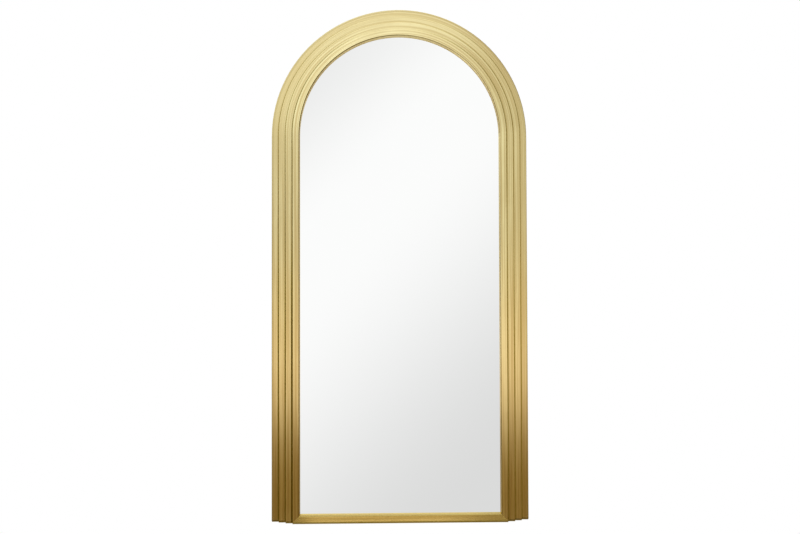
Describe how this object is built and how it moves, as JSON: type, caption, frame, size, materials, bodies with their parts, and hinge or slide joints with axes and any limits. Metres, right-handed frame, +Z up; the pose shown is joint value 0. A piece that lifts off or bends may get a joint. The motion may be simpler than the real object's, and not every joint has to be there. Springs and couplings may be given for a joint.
{
  "type": "arched wall mirror",
  "caption": "Tall wall mirror with a half-round head in a stepped frame of brushed brass-coloured tube, hung by swinging rings.",
  "frame": {"origin": "middle of the foot of the bounding box: the plane of symmetry, the base plate's underside, and half way from the innermost tier's front to the wall pads' backs", "axes": "+Z up, +X to the right of a person who looks into the glass, +Y from the glass towards the wall"},
  "size_m": [0.9144, 0.051, 1.8286],
  "materials": {
    "brushed_brass": "brushed along each tube, satin lacquer",
    "mirror": "clear silvered glass",
    "black_rubber": "matt",
    "white_foam": "closed-cell foam sheet",
    "fibreboard": "raw medium-density fibreboard",
    "zinc_steel": "bright zinc plate"
  },
  "bodies": {
    "frame": {"outer_tier": "brushed_brass", "second_tier": "brushed_brass", "third_tier": "brushed_brass", "inner_tier": "brushed_brass", "bottom_rail": "brushed_brass", "base_plate": "brushed_brass", "ledge_bar": "brushed_brass", "mirror_glass": "mirror", "cushion_tape": "black_rubber", "setting_blocks": "black_rubber", "foam_sheet": "white_foam", "backing_board": "fibreboard", "button_screws": "zinc_steel", "hanger_strap_left": "zinc_steel", "hanger_strap_right": "zinc_steel", "strap_screws": "zinc_steel", "rivet_nuts": "zinc_steel", "wall_pads": "black_rubber"},
    "turn_button_1": {"turn_button_1": "zinc_steel"},
    "turn_button_2": {"turn_button_2": "zinc_steel"},
    "turn_button_3": {"turn_button_3": "zinc_steel"},
    "turn_button_4": {"turn_button_4": "zinc_steel"},
    "turn_button_5": {"turn_button_5": "zinc_steel"},
    "turn_button_6": {"turn_button_6": "zinc_steel"},
    "turn_button_7": {"turn_button_7": "zinc_steel"},
    "turn_button_8": {"turn_button_8": "zinc_steel"},
    "turn_button_9": {"turn_button_9": "zinc_steel"},
    "turn_button_10": {"turn_button_10": "zinc_steel"},
    "turn_button_11": {"turn_button_11": "zinc_steel"},
    "hanging_ring_left": {"hanging_ring_left": "zinc_steel"},
    "hanging_ring_right": {"hanging_ring_right": "zinc_steel"}
  },
  "joints": [
    {"name": "turn_button_1_swivel", "type": "hinge", "parent": "frame", "child": "turn_button_1", "pos_m": [-0.39385, 0.003, 0.25], "axis": [0, 1, 0], "range_deg": [-95, 95]},
    {"name": "turn_button_2_swivel", "type": "hinge", "parent": "frame", "child": "turn_button_2", "pos_m": [-0.39385, 0.003, 0.7], "axis": [0, 1, 0], "range_deg": [-95, 95]},
    {"name": "turn_button_3_swivel", "type": "hinge", "parent": "frame", "child": "turn_button_3", "pos_m": [-0.39385, 0.003, 1.15], "axis": [0, 1, 0], "range_deg": [-95, 95]},
    {"name": "turn_button_4_swivel", "type": "hinge", "parent": "frame", "child": "turn_button_4", "pos_m": [0.39385, 0.003, 0.25], "axis": [0, 1, 0], "range_deg": [-95, 95]},
    {"name": "turn_button_5_swivel", "type": "hinge", "parent": "frame", "child": "turn_button_5", "pos_m": [0.39385, 0.003, 0.7], "axis": [0, 1, 0], "range_deg": [-95, 95]},
    {"name": "turn_button_6_swivel", "type": "hinge", "parent": "frame", "child": "turn_button_6", "pos_m": [0.39385, 0.003, 1.15], "axis": [0, 1, 0], "range_deg": [-95, 95]},
    {"name": "turn_button_7_swivel", "type": "hinge", "parent": "frame", "child": "turn_button_7", "pos_m": [0.32262, 0.003, 1.5975], "axis": [0, 1, 0], "range_deg": [-95, 95]},
    {"name": "turn_button_8_swivel", "type": "hinge", "parent": "frame", "child": "turn_button_8", "pos_m": [0, 0.003, 1.76545], "axis": [0, 1, 0], "range_deg": [-95, 95]},
    {"name": "turn_button_9_swivel", "type": "hinge", "parent": "frame", "child": "turn_button_9", "pos_m": [-0.32262, 0.003, 1.5975], "axis": [0, 1, 0], "range_deg": [-95, 95]},
    {"name": "turn_button_10_swivel", "type": "hinge", "parent": "frame", "child": "turn_button_10", "pos_m": [-0.22, 0.003, 0.008], "axis": [0, 1, 0], "range_deg": [-95, 95]},
    {"name": "turn_button_11_swivel", "type": "hinge", "parent": "frame", "child": "turn_button_11", "pos_m": [0.22, 0.003, 0.008], "axis": [0, 1, 0], "range_deg": [-95, 95]},
    {"name": "hanging_ring_left_swing", "type": "hinge", "parent": "frame", "child": "hanging_ring_left", "pos_m": [-0.39385, 0.0071, 1.3], "axis": [1, 0, 0], "range_deg": [0, 180]},
    {"name": "hanging_ring_right_swing", "type": "hinge", "parent": "frame", "child": "hanging_ring_right", "pos_m": [0.39385, 0.0071, 1.3], "axis": [1, 0, 0], "range_deg": [0, 180]}
  ]
}
